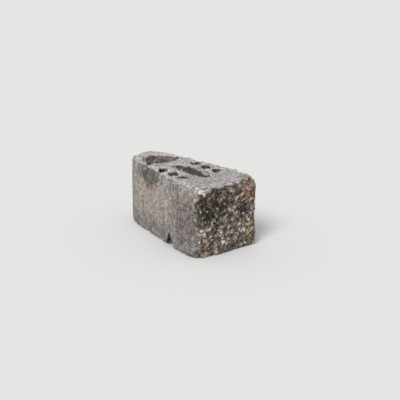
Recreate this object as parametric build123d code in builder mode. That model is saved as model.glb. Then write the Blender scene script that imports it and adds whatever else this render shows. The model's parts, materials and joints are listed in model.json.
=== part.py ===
"""Split-face wall block: a dry-cast concrete unit with one split end, a tapered body and a round tail.

Frame: origin on the floor under the middle of the block, +Z up, the split face looks towards -Y.
Sizes are in millimetres.
"""

import math
import os

from build123d import *

# Body
height = 150.0  # one course of the wall
face_width = 158.0  # across the split face
depth = 304.0  # from the proudest point of the split face to the end of the tail
side_length = 77.0  # stretch of each side that stays square to the face, before the taper
tail_radius = 48.5  # the tail is a half round in plan
edge_radius = 10.0  # tumbled edges of the moulded faces
least_flat = 0.5  # flat left on top between a worn edge and the nearest opening

# Split face
face_bulge = 4.0  # how far the middle stands forward of the edges
bulge_power = 4.0  # higher is flatter in the middle and steeper at the edges
wave_height = 2.5  # crest of the coarse fracture waves
wave_across = 74.0  # wavelength across the face
wave_up = 96.0  # wavelength up the face
broad_phase_across = 0.15  # where the broad wave starts, in turns
broad_phase_up = 0.1
ridge_phase = 0.6  # where the slanting ridge starts, in turns
arris_radius = 5.0  # worn edge all round the split face
split_stock = 30.0  # concrete cast in front of the face, which the split takes away
survey_step = 10.0  # spacing of the points that the fracture surface passes through

# Tail core, a fan-shaped opening right through the block, as wide as the worn edges allow
tail_wall = 32.0  # concrete behind the core
core_length = 68.0  # from the crest of the bowed front wall to the round end at the tail
core_bow = 17.0  # how far the front wall bows towards the face
core_shoulder_radius = 6.0
core_end_radius = 15.0

# Centre slot, an oblong opening right through the block
face_wall = 70.0  # concrete between the split face and the slot
cross_web = 42.0  # concrete between the slot and the tail core
slot_width = 32.0

# Pin holes right through the block, in as many rows of two as the length allows
pin_hole_diameter = 20.0
front_pin_setback = 93.0  # from the split face to the front row
rear_pin_clearance = 38.0  # least distance from the rear row to the crest of the tail core
pin_row_pitch = 35.0

# Pin channel, a groove across the underside just behind the front row
channel_setback = 103.0  # from the split face to the middle of the groove
channel_width = 23.0
channel_height = 28.0
channel_crown_radius = 5.0

# Places along the block
face_y = -depth / 2
tail_y = depth / 2
knee_y = face_y + side_length
tail_centre_y = tail_y - tail_radius
core_end_y = tail_y - tail_wall
core_front_y = core_end_y - core_length
core_shoulder_y = core_front_y + core_bow
slot_front_y = face_y + face_wall
slot_rear_y = core_front_y - cross_web
front_pin_y = face_y + front_pin_setback
channel_y = face_y + channel_setback

# Each side leans in from its knee until it meets the round of the tail
knee_to_centre = math.hypot(face_width / 2, tail_centre_y - knee_y)
side_lean = math.atan2(face_width / 2, tail_centre_y - knee_y) - math.asin(tail_radius / knee_to_centre)


def half_width(y, inset):
    """Half the width of the block at a place along the taper, less an inset square to its sides."""
    return face_width / 2 - max(y - knee_y, 0) * math.tan(side_lean) - inset / math.cos(side_lean)


def fracture_setback(x, z):
    """How far the split surface lies behind its proudest point, give or take one constant."""
    across = min(abs(2 * x / face_width), 1)
    up = min(abs(2 * z / height - 1), 1)
    bulge = face_bulge * (1 - (1 - across**bulge_power) * (1 - up**bulge_power))
    broad_across = math.sin(math.tau * (x / wave_across + broad_phase_across))
    broad_up = math.cos(math.tau * (z / wave_up + broad_phase_up))
    ridge = math.sin(math.tau * (x / wave_up + z / wave_across + ridge_phase))
    return bulge + wave_height * (broad_across * broad_up + ridge) / 2


def survey(low, high):
    """Evenly spaced stations from low to high, about one survey step apart."""
    count = math.ceil((high - low) / survey_step)
    return [low + (high - low) * i / count for i in range(count + 1)]


# Fracture surface: a smooth face through a grid of surveyed points, a little larger than the block's end
stations_x = survey(-face_width / 2 - survey_step, face_width / 2 + survey_step)
stations_z = survey(-survey_step, height + survey_step)
proudest = min(fracture_setback(x, z) for x in stations_x for z in stations_z)
fracture = Face.make_surface_from_array_of_points(
    [[(x, face_y + fracture_setback(x, z) - proudest, z) for z in stations_z] for x in stations_x]
)

with BuildPart() as block:
    # Moulded body: the square front and the round tail, with straight tapers between them
    with BuildSketch():
        with Locations((0, face_y + (side_length - split_stock) / 2)):
            Rectangle(face_width, side_length + split_stock)
        with Locations((0, tail_centre_y)):
            Circle(tail_radius)
        make_hull()
    extrude(amount=height)
    for end_face in block.faces().filter_by(Axis.Z):
        fillet(end_face.edges().sort_by(Axis.Y)[1:], edge_radius)

    # The split takes the stock in front of the fracture surface away
    extrude(fracture, amount=2 * split_stock, dir=(0, -1, 0), mode=Mode.SUBTRACT)
    split_face = block.faces().sort_by(Axis.Y)[0]
    fillet(split_face.edges(), arris_radius)

    # Tail core: a bowed front wall and two slanting walls that close in on a round end
    shoulder_x = half_width(core_shoulder_y, edge_radius + least_flat)
    with BuildSketch():
        with BuildLine():
            ThreePointArc((-shoulder_x, core_shoulder_y), (0, core_front_y), (shoulder_x, core_shoulder_y))
            CenterArc((0, core_end_y - core_end_radius), core_end_radius, 0, 360)
        make_hull()
        fillet(vertices().group_by(Axis.Y)[0], core_shoulder_radius)
    extrude(amount=height, mode=Mode.SUBTRACT)

    # Centre slot
    with BuildSketch():
        with Locations((0, (slot_front_y + slot_rear_y) / 2)):
            SlotOverall(slot_rear_y - slot_front_y, slot_width, rotation=90)
    extrude(amount=height, mode=Mode.SUBTRACT)

    # Pin channel: straight flanks that lean in to a small round crown
    with BuildSketch(Plane.YZ):
        with Locations((channel_y, channel_height - channel_crown_radius)):
            Circle(channel_crown_radius)
        with Locations((channel_y, channel_crown_radius / 2)):
            Rectangle(channel_width, channel_crown_radius)
        make_hull()
    extrude(amount=face_width, both=True, mode=Mode.SUBTRACT)

    # Pin holes
    pin_run = core_front_y - rear_pin_clearance - front_pin_y
    pin_rows = 1 + math.floor(pin_run / pin_row_pitch)
    rear_pin_y = front_pin_y + (pin_rows - 1) * pin_row_pitch
    pin_spacing = 2 * half_width(rear_pin_y, edge_radius + least_flat + pin_hole_diameter / 2)
    with Locations((0, (front_pin_y + rear_pin_y) / 2, height)):
        with GridLocations(pin_spacing, pin_row_pitch, 2, pin_rows):
            Hole(pin_hole_diameter / 2)

block.part.label = "block"
os.makedirs("parts", exist_ok=True)
export_step(block.part, "parts/block.step")
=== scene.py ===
import json
import math
import random

import bpy
import numpy as np
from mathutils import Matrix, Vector

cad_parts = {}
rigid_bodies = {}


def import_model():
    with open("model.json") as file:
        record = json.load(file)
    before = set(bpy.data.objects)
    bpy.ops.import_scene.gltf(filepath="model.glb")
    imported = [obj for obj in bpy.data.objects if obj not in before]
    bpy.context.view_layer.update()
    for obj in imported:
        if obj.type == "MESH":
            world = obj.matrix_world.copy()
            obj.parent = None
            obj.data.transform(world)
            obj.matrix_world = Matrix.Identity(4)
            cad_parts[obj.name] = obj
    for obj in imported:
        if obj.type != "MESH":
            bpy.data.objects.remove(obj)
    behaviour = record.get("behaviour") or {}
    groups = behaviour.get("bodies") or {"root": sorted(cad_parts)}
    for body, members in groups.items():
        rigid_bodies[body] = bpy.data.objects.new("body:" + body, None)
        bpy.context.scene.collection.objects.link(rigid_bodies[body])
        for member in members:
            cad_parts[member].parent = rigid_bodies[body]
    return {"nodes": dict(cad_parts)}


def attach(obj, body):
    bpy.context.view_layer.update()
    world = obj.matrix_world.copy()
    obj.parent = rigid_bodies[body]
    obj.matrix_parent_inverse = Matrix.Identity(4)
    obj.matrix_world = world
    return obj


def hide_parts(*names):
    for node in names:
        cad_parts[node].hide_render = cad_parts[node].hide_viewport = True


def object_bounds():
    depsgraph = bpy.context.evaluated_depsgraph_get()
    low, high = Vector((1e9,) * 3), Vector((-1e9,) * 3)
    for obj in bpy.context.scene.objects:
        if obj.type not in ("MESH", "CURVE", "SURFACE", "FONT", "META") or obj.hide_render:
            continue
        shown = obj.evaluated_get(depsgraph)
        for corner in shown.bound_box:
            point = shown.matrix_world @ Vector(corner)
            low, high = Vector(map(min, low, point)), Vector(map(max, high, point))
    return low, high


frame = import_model()
cad_low, cad_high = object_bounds()

# The wall block is one piece of dry-cast concrete, pressed in a mould and stripped upwards, which drags
# its sides. It is split off its neighbour along the front, which leaves that face rough, and then tumbled
# in a drum, which wears the edges round, knocks the corners off and breaks the lips of the holes.
bpy.ops.object.select_all(action="DESELECT")
cast = frame["nodes"]["block"]
cast.select_set(True)
bpy.context.view_layer.objects.active = cast
bpy.ops.object.duplicate()
block = bpy.context.object
block.name = "wall_block"
block.data.name = "wall_block"
bpy.ops.object.parent_clear(type="CLEAR_KEEP_TRANSFORM")
bpy.ops.object.mode_set(mode="EDIT")
bpy.ops.mesh.select_all(action="SELECT")
bpy.ops.mesh.remove_doubles(threshold=0.00001)
bpy.ops.object.mode_set(mode="OBJECT")


def finish_with(piece, kind, **settings):
    """Adds a modifier to a piece and applies it."""
    bpy.ops.object.select_all(action="DESELECT")
    piece.select_set(True)
    bpy.context.view_layer.objects.active = piece
    modifier = piece.modifiers.new(kind.lower(), kind)
    for setting, value in settings.items():
        setattr(modifier, setting, value)
    bpy.ops.object.modifier_apply(modifier=modifier.name)


def rough_texture(name, kind, size, **settings):
    """A solid texture for Displace, with features about as large as size in metres."""
    texture = bpy.data.textures.new(name, kind)
    texture.noise_scale = size
    for setting, value in settings.items():
        setattr(texture, setting, value)
    return texture


# Chips, each knocked out with a rough pebble: its middle, and its half sizes across, along and up
lump = rough_texture("pebble_lump", "CLOUDS", 0.012, noise_depth=2)
chips = [
    ((-0.086, -0.158, -0.008), (0.031, 0.029, 0.029)),  # front left foot
    ((0.088, -0.157, 0.159), (0.030, 0.028, 0.028)),  # front right top corner
    ((0.085, -0.157, -0.008), (0.018, 0.018, 0.016)),  # front right foot
    ((-0.067, -0.157, 0.147), (0.009, 0.009, 0.007)),  # fresh chip beside the front left top corner
    ((-0.034, -0.157, -0.005), (0.020, 0.013, 0.013)),  # foot of the split face
    ((0.020, -0.156, -0.004), (0.022, 0.010, 0.008)),
    ((0.012, -0.156, 0.154), (0.030, 0.010, 0.009)),  # top of the split face
    ((-0.083, -0.152, 0.112), (0.009, 0.010, 0.013)),  # left upright edge of the split face
    ((-0.082, -0.153, 0.074), (0.008, 0.010, 0.010)),
    ((-0.083, -0.152, 0.042), (0.009, 0.009, 0.012)),
    ((0.083, -0.152, 0.094), (0.008, 0.010, 0.012)),  # right upright edge of the split face
    ((0.083, -0.153, 0.056), (0.007, 0.009, 0.010)),
    ((0.077, -0.046, 0.153), (0.009, 0.014, 0.009)),  # right top edge
    ((0.062, 0.058, 0.153), (0.011, 0.016, 0.009)),
    ((-0.080, -0.088, 0.153), (0.008, 0.014, 0.008)),  # left top edge
    ((-0.066, 0.034, 0.154), (0.009, 0.014, 0.009)),
    ((-0.058, 0.064, 0.152), (0.008, 0.014, 0.010)),
    ((-0.083, -0.100, -0.003), (0.008, 0.014, 0.008)),  # left foot
    ((-0.079, -0.057, 0.012), (0.010, 0.006, 0.015)),  # left mouth of the channel
    ((-0.080, -0.049, 0.021), (0.008, 0.008, 0.013)),
    ((-0.080, -0.036, 0.001), (0.009, 0.008, 0.012)),
    ((0.070, 0.010, -0.003), (0.009, 0.016, 0.010)),  # right foot
    ((0.083, -0.110, 0.020), (0.007, 0.014, 0.012)),
    ((0.030, 0.146, 0.154), (0.014, 0.010, 0.009)),  # tail
    ((-0.046, 0.139, 0.157), (0.019, 0.019, 0.016)),
    ((-0.026, 0.149, -0.003), (0.016, 0.009, 0.010)),
    ((-0.051, -0.033, 0.153), (0.011, 0.012, 0.008)),  # lips of the pin holes
    ((-0.046, 0.001, 0.153), (0.010, 0.011, 0.008)),
    ((0.037, -0.067, 0.153), (0.011, 0.012, 0.008)),
    ((0.038, -0.032, 0.153), (0.011, 0.012, 0.008)),
    ((0.039, 0.003, 0.153), (0.010, 0.011, 0.007)),
    ((-0.004, 0.011, 0.146), (0.013, 0.009, 0.013)),  # lips of the slot
    ((-0.017, -0.012, 0.153), (0.007, 0.012, 0.007)),
    ((0.003, -0.084, 0.152), (0.013, 0.009, 0.006)),
    ((0.016, -0.054, 0.153), (0.008, 0.014, 0.011)),
    ((0.015, -0.029, 0.154), (0.007, 0.009, 0.008)),
    ((-0.042, 0.070, 0.153), (0.009, 0.010, 0.009)),  # left lip of the tail core, broken to a slope
    ((-0.034, 0.085, 0.154), (0.010, 0.012, 0.012)),
    ((-0.024, 0.099, 0.154), (0.010, 0.012, 0.012)),
    ((-0.013, 0.111, 0.154), (0.010, 0.010, 0.010)),
]
turns = random.Random(7)
pebbles = []
for middle, half in chips:
    bpy.ops.mesh.primitive_ico_sphere_add(subdivisions=4, radius=1.0, location=middle)
    pebble = bpy.context.object
    pebble.scale = half
    pebble.rotation_euler = [turns.uniform(-0.5, 0.5) for axis in range(3)]
    bpy.ops.object.transform_apply(location=True, rotation=True, scale=True)
    finish_with(
        pebble, "DISPLACE", texture=lump, texture_coords="LOCAL",
        strength=0.5 * max(half), mid_level=0.5,
    )
    pebbles.append(pebble)
bpy.ops.object.select_all(action="DESELECT")
for pebble in pebbles:
    pebble.select_set(True)
bpy.context.view_layer.objects.active = pebbles[0]
bpy.ops.object.join()
knocker = bpy.context.object
finish_with(block, "BOOLEAN", operation="DIFFERENCE", object=knocker, solver="EXACT", use_self=True)
bpy.data.objects.remove(knocker)

# An even skin of small faces carries the relief
finish_with(block, "REMESH", mode="VOXEL", voxel_size=0.00195, use_smooth_shade=True)


def readings(piece, what):
    """The places or the normals of a mesh's points, one row each."""
    rows = np.empty(len(piece.data.vertices) * 3)
    piece.data.vertices.foreach_get(what, rows)
    return rows.reshape(-1, 3)


def ramp(values, low, high):
    """0 below low, 1 above high and smooth between them."""
    share = np.clip((values - low) / (high - low), 0, 1)
    return share * share * (3 - 2 * share)


def spread(weights, rounds):
    """Lets weights run out softly over the neighbouring points."""
    edge_tips = np.empty(len(block.data.edges) * 2, dtype=np.int32)
    block.data.edges.foreach_get("vertices", edge_tips)
    first, second = edge_tips.reshape(-1, 2).T
    count = len(weights)
    links = np.bincount(edge_tips, minlength=count)
    for turn in range(rounds):
        around = np.bincount(first, weights[second], count) + np.bincount(second, weights[first], count)
        weights = (weights + around / links) / 2
    return weights


def weigh(name, weights):
    """A vertex group that limits a modifier to one part of the block."""
    group = block.vertex_groups.new(name=name)
    levels = 40
    steps = np.round(weights * levels).astype(int)
    for step in range(1, levels + 1):
        group.add(np.flatnonzero(steps == step).tolist(), step / levels, "REPLACE")


# How far each point lies inside the block's outline: sides that lean in from a knee, and a round tail
place = readings(block, "co")
normal = readings(block, "normal")
x, y, z = place.T
flatness = np.abs(normal).max(axis=1)
knee_y = -0.075
side_lean = 0.167
tail_radius = 0.0485
tail_centre_y = cad_high[1] - tail_radius
split_y = -0.150
half_width = cad_high[0] - np.maximum(y - knee_y, 0) * side_lean
to_side = half_width - np.abs(x)
to_tail = tail_radius - np.hypot(x, y - tail_centre_y)
to_outline = np.minimum(np.where(y > tail_centre_y, to_tail, to_side), y - split_y)
within = ramp(to_outline, 0.008, 0.012)

# Parts of the skin: the split face, the top, the lips of the holes, the worn outer edges, the dragged sides
# and what lies close to the top or the foot
split_mask = ramp(-normal[:, 1], 0.35, 0.75) * ramp(-y, 0.128, 0.136)
top_mask = ramp(normal[:, 2], 0.55, 0.9) * ramp(z, 0.135, 0.142)
near_ends = ramp(np.abs(z - cad_high[2] / 2), 0.060, 0.070)
lip_mask = np.clip(3.0 * spread(near_ends * within * (1 - ramp(flatness, 0.90, 0.99)), 10), 0, 1)
edge_mask = np.maximum(near_ends, ramp(-y, 0.120, 0.138)) * (1 - ramp(flatness, 0.86, 0.99))
edge_mask = np.clip(1.4 * spread(edge_mask * (1 - within) * (1 - 0.6 * split_mask), 4), 0, 1)
side_mask = 1 - np.maximum(ramp(np.abs(normal[:, 2]), 0.2, 0.5), split_mask)
outside = (1 - within) * (1 - split_mask)
crown_mask = outside * ramp(z, 0.112, 0.132)
foot_mask = np.maximum(outside * ramp(-z, -0.056, -0.022), ramp(-normal[:, 2], 0.5, 0.9))

# Rubbed pale: the top, the lips of the holes and most of the split face's arris. Its upright edges are worn
# too, part of the way back to plain cement.
worn_arris = split_mask * ramp(z, 0.136, 0.146) * ramp(-x, -0.055, -0.035) * ramp(x, -0.060, -0.048)
worn_upright = split_mask * ramp(np.abs(x), 0.064, 0.078)
pale_mask = np.maximum(np.maximum(top_mask, within * ramp(z, 0.144, 0.149)), worn_arris)

# Painted shade and dirt on the walls of the holes: most in the channel, where it is painted shade alone,
# much in the pin holes and the slot, less in the tail core, least at its left
channel_y = -0.050
channel_reach = 0.0125 + 0.005 * ramp(-x, 0.064, 0.072)
in_channel = ramp(channel_reach - np.abs(y - channel_y), -0.002, 0.002) * ramp(-z, -0.036, -0.031)
in_channel = in_channel * ramp(to_outline, 0.0008, 0.0028)
core_front_y = 0.040
hole_shade_and_dirt = 0.70
core_shade_and_dirt = 0.10 + 0.30 * ramp(x, -0.020, 0.012)
shade_and_dirt = np.where(y > core_front_y, core_shade_and_dirt, hole_shade_and_dirt)
painted_shade_and_dirt_mask = np.maximum(shade_and_dirt * within * side_mask * (1 - pale_mask), in_channel)

# Each part is worn and roughened in its own way
for name, weights in (
    ("split face", split_mask), ("top", top_mask), ("lips", lip_mask),
    ("edges", edge_mask), ("sides", side_mask), ("crown", crown_mask),
):
    weigh(name, weights)
finish_with(block, "SMOOTH", factor=0.5, iterations=12, vertex_group="lips")
finish_with(block, "SMOOTH", factor=0.5, iterations=14, vertex_group="edges")

fracture = rough_texture("fracture", "CLOUDS", 0.030, noise_depth=4, noise_basis="ORIGINAL_PERLIN")
stones = rough_texture("stones", "VORONOI", 0.0105, distance_metric="DISTANCE")
gravel = rough_texture("gravel", "CLOUDS", 0.0075, noise_depth=1, noise_basis="VORONOI_F2_F1")
grit = rough_texture("grit", "CLOUDS", 0.0045, noise_depth=2)
wear = rough_texture("wear", "CLOUDS", 0.014, noise_depth=3)
broken_lip = rough_texture("broken_lip", "CLOUDS", 0.011, noise_depth=2)
waves = rough_texture("waves", "CLOUDS", 0.030, noise_depth=2)
for part, texture, direction, strength, mid_level in (
    ("split face", fracture, "Y", 0.015, 0.50),
    ("split face", stones, "Y", 0.0045, 0.40),
    ("split face", gravel, "Y", -0.0030, 0.30),
    ("split face", grit, "Y", 0.0050, 0.50),
    ("edges", wear, "NORMAL", 0.008, 0.62),
    ("edges", grit, "NORMAL", 0.004, 0.55),
    ("lips", broken_lip, "NORMAL", 0.012, 0.62),
    ("crown", wear, "NORMAL", 0.005, 0.60),
    ("top", waves, "NORMAL", 0.003, 0.60),
    ("top", grit, "NORMAL", 0.0026, 0.55),
    ("sides", grit, "NORMAL", 0.0012, 0.60),
):
    finish_with(
        block, "DISPLACE", texture=texture, texture_coords="LOCAL", vertex_group=part,
        direction=direction, strength=strength, mid_level=mid_level,
    )
finish_with(block, "SMOOTH", factor=0.5, iterations=5, vertex_group="lips")
block.vertex_groups.clear()

# Nothing stands out past the mould, and the split face eases off before the proudest point of the casting
held = readings(block, "co")
easing = 0.0015
held[:, 1] = cad_low[1] + easing * np.logaddexp(0, (held[:, 1] - cad_low[1]) / easing)
held = np.clip(held, cad_low, cad_high)
block.data.vertices.foreach_set("co", held.ravel())
block.data.update()

# How deep each point lies below its smoothed surroundings is kept on the block, for painted shade in the
# hollows and painted light on the proud points
bpy.ops.object.select_all(action="DESELECT")
block.select_set(True)
bpy.context.view_layer.objects.active = block
bpy.ops.object.duplicate()
smoothed = bpy.context.object
finish_with(smoothed, "SMOOTH", factor=0.5, iterations=24)
to_smooth = readings(smoothed, "co") - readings(block, "co")
sunk = np.einsum("ij,ij->i", to_smooth, readings(smoothed, "normal"))
full_depth = 0.0015
bpy.data.objects.remove(smoothed)
for name, values in (
    ("split", spread(split_mask - 0.8 * worn_arris - 0.5 * worn_upright, 5)), ("top", pale_mask),
    ("crown", crown_mask), ("foot", foot_mask), ("shade_and_dirt_layer", painted_shade_and_dirt_mask), ("painted_relief_shading", sunk / full_depth),
):
    layer = block.data.attributes.new(name, "FLOAT", "POINT")
    layer.data.foreach_set("value", values.astype(np.float32))
bpy.ops.object.select_all(action="DESELECT")
block.select_set(True)
bpy.context.view_layer.objects.active = block
bpy.ops.object.shade_smooth()

# Concrete: grey cement with fine sand on the moulded faces, broken brown and tan stone on the split face
concrete = bpy.data.materials.new("tumbled_concrete")
concrete.use_nodes = True
tree = concrete.node_tree
shader = tree.nodes["Principled BSDF"]
shader.inputs["Specular IOR Level"].default_value = 0.2


def node(kind, inputs, **settings):
    """A node with its settings, and with its inputs linked or set by name or number."""
    made = tree.nodes.new("ShaderNode" + kind)
    for setting, value in settings.items():
        setattr(made, setting, value)
    for name, value in inputs.items():
        if isinstance(value, bpy.types.NodeSocket):
            tree.links.new(value, made.inputs[name])
        else:
            made.inputs[name].default_value = value
    return made


def kept(name):
    """A value that the mesh keeps at each point."""
    return node("Attribute", {}, attribute_name=name).outputs["Fac"]


def remap(value, low, high, to_low=0.0, to_high=1.0):
    """A value brought smoothly from one range to another."""
    ranges = {0: value, 1: low, 2: high, 3: to_low, 4: to_high}
    return node("MapRange", ranges, interpolation_type="SMOOTHSTEP").outputs[0]


def combined(how, first, second):
    """Two values added or multiplied."""
    return node("Math", {0: first, 1: second}, operation=how).outputs[0]


def mixed(share, first, second, how="MIX"):
    """Two colours mixed by a share."""
    return node("Mix", {0: share, 6: first, 7: second}, data_type="RGBA", blend_type=how).outputs[2]


def toned(colour, value):
    """A colour made darker or lighter by a value around 1."""
    return node("VectorMath", {0: colour, 3: value}, operation="SCALE").outputs[0]


def noise(size, detail=3.0, stretch=(1, 1, 1), shift=(0, 0, 0)):
    """Soft noise with features about as large as size, which stretch draws out."""
    where = node("Mapping", {"Vector": spot, "Scale": stretch, "Location": shift}).outputs[0]
    return node("TexNoise", {"Vector": where, "Scale": 1 / size, "Detail": detail}).outputs["Fac"]


def bent(size, far):
    """Places pushed about by noise, so that what is drawn on them has ragged edges."""
    push = node("TexNoise", {"Vector": spot, "Scale": 1 / size, "Detail": 2.0}).outputs["Color"]
    centred = node("VectorMath", {0: push, 1: (0.5, 0.5, 0.5)}, operation="SUBTRACT").outputs[0]
    reach = (far, far, far)
    return node("VectorMath", {0: centred, 1: reach, 2: spot}, operation="MULTIPLY_ADD").outputs[0]


def grains(size, where):
    """Stones about as large as size: distances from their middles, and a value for each stone."""
    made = node("TexVoronoi", {"Vector": where, "Scale": 1 / size})
    return made.outputs["Distance"], node("SeparateColor", {0: made.outputs["Color"]}).outputs[0]


def shades(value, *stops):
    """Colours along a value from 0 to 1."""
    ramp_node = node("ValToRGB", {0: value})
    ladder = ramp_node.color_ramp.elements
    while len(ladder) < len(stops):
        ladder.new(0.5)
    for step, (position, colour) in zip(ladder, stops):
        step.position = position
        step.color = colour + (1,)
    return ramp_node.outputs[0]


def patch(middle, radius):
    """A ragged round patch about a place on the block."""
    away = node("VectorMath", {0: ragged, 1: middle}, operation="DISTANCE").outputs["Value"]
    return remap(away, radius, 0.5 * radius)


def stained(colour, middle, radius, stain, how="MULTIPLY", strength=1.0):
    """A colour with a ragged patch of another worked into it."""
    return mixed(combined("MULTIPLY", patch(middle, radius), strength), colour, stain + (1,), how)


spot = node("TexCoord", {}).outputs["Object"]
axes = node("SeparateXYZ", {0: spot}).outputs
along = axes["Y"]
up = axes["Z"]
ragged = bent(0.016, 0.030)
crooked = bent(0.005, 0.0028)
stone_depth, stone_kind = grains(0.0066, crooked)
sand_depth, sand_kind = grains(0.0028, crooked)
painted_relief_shading = kept("painted_relief_shading")

# Split face: broken stones of every tone in dark cement
split_colour = shades(
    stone_kind,
    (0.0, (0.066, 0.056, 0.049)),
    (0.30, (0.122, 0.104, 0.091)),
    (0.55, (0.200, 0.176, 0.160)),
    (0.80, (0.312, 0.270, 0.235)),
    (1.0, (0.470, 0.428, 0.386)),
)
clean_grains = remap(sand_kind, 0.72, 0.92, 1.0, 0.5)
stain_y = -0.149
for stain_x, stain_z, radius, stain, how, strength in (
    (-0.034, 0.120, 0.066, (0.40, 0.355, 0.315), "MULTIPLY", clean_grains),  # dark brown at the upper left
    (0.056, 0.122, 0.044, (1.08, 0.87, 0.73), "MULTIPLY", 1.0),  # tan at the upper right
    (-0.037, 0.087, 0.030, (0.72, 0.83, 0.80), "MULTIPLY", 1.0),  # greenish, left of the middle
    (0.041, 0.081, 0.022, (0.25, 0.25, 0.24), "MULTIPLY", clean_grains),  # blue black, right of the middle
    (0.058, 0.050, 0.034, (1.52, 1.37, 1.21), "MULTIPLY", 1.0),  # pale tan at the lower right
    (-0.010, 0.030, 0.060, (0.93, 0.865, 0.865), "MULTIPLY", 1.0),  # pinkish, low in the middle
    (0.062, 0.014, 0.028, (0.95, 0.93, 0.76), "MULTIPLY", 1.0),  # yellowish at the right foot
    (-0.060, 0.008, 0.034, (0.80, 0.75, 0.65), "MULTIPLY", 1.0),  # yellowish brown at the left foot
    (-0.063, 0.050, 0.022, (1.68, 1.59, 1.52), "MULTIPLY", 1.0),  # cream stones on the left edge
    (-0.046, 0.147, 0.016, (0.50, 0.44, 0.38), "MIX", 0.5),  # fresh stone along the worn arris
    (-0.065, 0.143, 0.011, (0.78, 0.71, 0.645), "MIX", 0.9),  # fresh white chip beside the corner
):
    split_colour = stained(split_colour, (stain_x, stain_y, stain_z), radius, stain, how, strength)
split_colour = toned(split_colour, remap(sand_kind, 0.0, 1.0, 0.50, 1.50))
split_colour = toned(split_colour, remap(sand_kind, 0.80, 0.94, 1.0, 1.4))
# Painted shade in the hollows of the split face and painted light on its proud points
split_colour = toned(split_colour, remap(painted_relief_shading, -0.6, 0.9, 1.22, 0.56))

# Moulded sides: warm and dragged upwards at the rear, dull, darker and pebbly in front of the knee, the
# darkness partly painted shade for the side's turn there, rough cement at top and foot, and a dark stain
# under the top edge beside the tail core
drag = noise(0.006, 3.0, (1, 1, 0.05))
broad_drag = noise(0.022, 2.0, (1, 1, 0.03), (0.3, 0.1, 0))
blotches = noise(0.013, 4.0)
pebbly = noise(0.008, 4.0, (1, 1, 0.9), (0.5, 0.2, 0.7))
# Darker in front of the knee: partly the concrete's own duller tone, partly painted shade for the side's
# turn at the knee
dull_and_painted_shade = combined("MULTIPLY", remap(along, -0.060, -0.092), remap(up, 0.145, 0.085))
side_colour = mixed(dull_and_painted_shade, (0.352, 0.314, 0.278, 1), (0.192, 0.167, 0.161, 1))
side_colour = mixed(remap(broad_drag, 0.52, 0.72), side_colour, (0.90, 0.83, 0.77, 1), "MULTIPLY")
side_colour = mixed(remap(broad_drag, 0.46, 0.34), side_colour, (1.05, 0.97, 0.98, 1), "MULTIPLY")
side_colour = toned(side_colour, remap(drag, 0.30, 0.70, 0.83, 1.18))
side_colour = toned(side_colour, remap(pebbly, 0.32, 0.68, 0.77, 1.22))
specked = noise(0.0045, 3.0, shift=(0.9, 0.4, 0.1))
side_colour = mixed(dull_and_painted_shade, side_colour, toned(side_colour, remap(specked, 0.32, 0.68, 0.58, 1.44)))
rough_cement = mixed(remap(blotches, 0.38, 0.62), (0.180, 0.170, 0.160, 1), (0.390, 0.362, 0.342, 1))
foot_cement = mixed(remap(blotches, 0.38, 0.62), (0.160, 0.150, 0.145, 1), (0.290, 0.272, 0.262, 1))
high_front = combined("MULTIPLY", remap(along, -0.066, -0.090), remap(up, 0.080, 0.105))
side_colour = mixed(high_front, side_colour, (0.95, 0.94, 0.83, 1), "MULTIPLY")
side_colour = mixed(combined("MULTIPLY", kept("foot"), 0.9), side_colour, foot_cement)
side_colour = mixed(combined("MULTIPLY", kept("crown"), 0.9), side_colour, rough_cement)
side_colour = stained(side_colour, (-0.060, 0.038, 0.142), 0.050, (0.40, 0.41, 0.39))

# Top: pale, with darker mottling, and browner towards the front right corner; painted shade and dirt darken
# the holes
top_colour = mixed(remap(along, -0.14, 0.02), (0.420, 0.395, 0.382, 1), (0.466, 0.443, 0.430, 1))
top_colour = toned(top_colour, remap(noise(0.0050, 4.0), 0.30, 0.70, 0.66, 1.32))
top_colour = stained(top_colour, (0.066, -0.150, 0.150), 0.034, (0.80, 0.68, 0.58))
moulded = mixed(kept("top"), side_colour, top_colour)
# The walls of the holes and the channel are darkened: painted shade, with some dirt in the holes
moulded = mixed(kept("shade_and_dirt_layer"), moulded, (0.22, 0.213, 0.226, 1), "MULTIPLY")
moulded = toned(moulded, remap(sand_kind, 0.0, 1.0, 0.80, 1.20))
moulded = toned(moulded, remap(noise(0.0034, 6.0, shift=(0.2, 0.8, 0.6)), 0.32, 0.68, 0.70, 1.30))
moulded = toned(moulded, remap(stone_kind, 0.02, 0.16, 0.72, 1.0))
moulded = toned(moulded, remap(stone_kind, 0.86, 0.98, 1.0, 1.22))
# Painted shade in the hollows of the moulded faces and painted light on their proud points
moulded = toned(moulded, remap(painted_relief_shading, -0.8, 1.2, 1.15, 0.60))

# The two finishes meet in a ragged line, and the stones and the sand stand out a little
ragged_split = combined("ADD", kept("split"), remap(pebbly, 0.3, 0.7, -0.3, 0.3))
colour = mixed(remap(ragged_split, 0.30, 0.60), moulded, split_colour)
whitest = (0.80, 0.80, 0.80)
colour = node("VectorMath", {0: colour, 1: whitest}, operation="MINIMUM").outputs[0]
tree.links.new(colour, shader.inputs["Base Color"])
tree.links.new(remap(sand_kind, 0.0, 1.0, 0.84, 0.97), shader.inputs["Roughness"])
relief = combined("ADD", combined("MULTIPLY", stone_depth, -0.5), combined("MULTIPLY", sand_depth, -0.35))
relief = combined("ADD", relief, combined("MULTIPLY", drag, 0.12))
relief = combined("ADD", relief, combined("MULTIPLY", noise(0.0016, 2.0), 0.4))
bump = node("Bump", {"Height": relief, "Distance": 0.0012, "Strength": 0.6})
tree.links.new(bump.outputs[0], shader.inputs["Normal"])
block.data.materials.clear()
block.data.materials.append(concrete)
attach(block, "root")
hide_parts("block")

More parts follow.
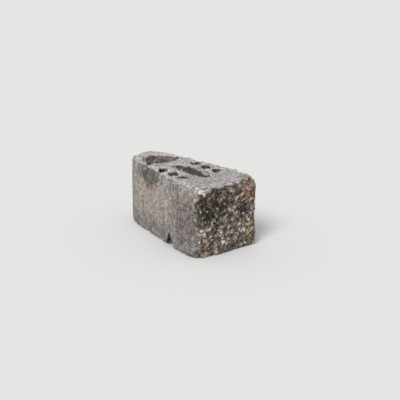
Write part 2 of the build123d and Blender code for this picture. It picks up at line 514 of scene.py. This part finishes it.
# The floor is a plain pale sheet of paper, wide enough to fill the picture. It lies a hair below the block,
# so that the two never share a plane.
floor_z = -0.0005
bpy.ops.mesh.primitive_plane_add(size=40.0, location=(0, 0, floor_z))
floor = bpy.context.object
floor.name = "studio_floor"
paper = bpy.data.materials.new("pale_paper")
paper.use_nodes = True
sheet = paper.node_tree.nodes["Principled BSDF"]
sheet.inputs["Base Color"].default_value = (0.85, 0.85, 0.84, 1)
sheet.inputs["Roughness"].default_value = 0.9
floor.data.materials.append(paper)

# Soft studio light: an even pale sky and one broad lamp at the upper left. What the camera, a mirror or
# glass would see of the sky is a backdrop about as pale as the floor.
sky = bpy.data.worlds.new("studio_sky")
bpy.context.scene.world = sky
sky.use_nodes = True
wires = sky.node_tree
glow = wires.nodes["Background"]
glow.inputs["Color"].default_value = (1.0, 1.0, 1.0, 1)
glow.inputs["Strength"].default_value = 0.5
backdrop = wires.nodes.new("ShaderNodeBackground")
backdrop.inputs["Color"].default_value = (1.0, 1.0, 0.99, 1)
backdrop.inputs["Strength"].default_value = 0.80
path = wires.nodes.new("ShaderNodeLightPath")
seen = wires.nodes.new("ShaderNodeMath")
seen.operation = "MAXIMUM"
mirrored = wires.nodes.new("ShaderNodeMath")
mirrored.operation = "MAXIMUM"
wires.links.new(path.outputs["Is Glossy Ray"], mirrored.inputs[0])
wires.links.new(path.outputs["Is Transmission Ray"], mirrored.inputs[1])
wires.links.new(path.outputs["Is Camera Ray"], seen.inputs[0])
wires.links.new(mirrored.outputs[0], seen.inputs[1])
choice = wires.nodes.new("ShaderNodeMixShader")
wires.links.new(seen.outputs[0], choice.inputs[0])
wires.links.new(glow.outputs[0], choice.inputs[1])
wires.links.new(backdrop.outputs[0], choice.inputs[2])
wires.links.new(choice.outputs[0], wires.nodes["World Output"].inputs["Surface"])
bpy.ops.object.light_add(type="SUN", location=(-1.7, -0.9, 2.0))
lamp = bpy.context.object
lamp.name = "broad_lamp"
lamp.data.energy = 1.87
lamp.data.angle = 0.43
lamp_aim = Vector((0, 0, 0.07))
lamp.rotation_euler = (lamp_aim - lamp.location).to_track_quat("-Z", "Y").to_euler()

# The camera stands where the photograph was taken from, at the front left and a little above the block,
# and its frame is shifted as the photograph's is.
aim = Vector((0, 0, 0.075))
azimuth = math.radians(-37.4)
elevation = math.radians(18.0)
distance = 2.135
offset = Vector((
    math.sin(azimuth) * math.cos(elevation),
    -math.cos(azimuth) * math.cos(elevation),
    math.sin(elevation),
))
bpy.ops.object.camera_add(location=aim + distance * offset)
camera = bpy.context.object
camera.rotation_euler = (-offset).to_track_quat("-Z", "Y").to_euler()
camera.data.lens = 90.0
camera.data.sensor_width = 36.0
camera.data.shift_x = 0.043
bpy.context.scene.camera = camera
bpy.context.scene.view_settings.view_transform = "Standard"
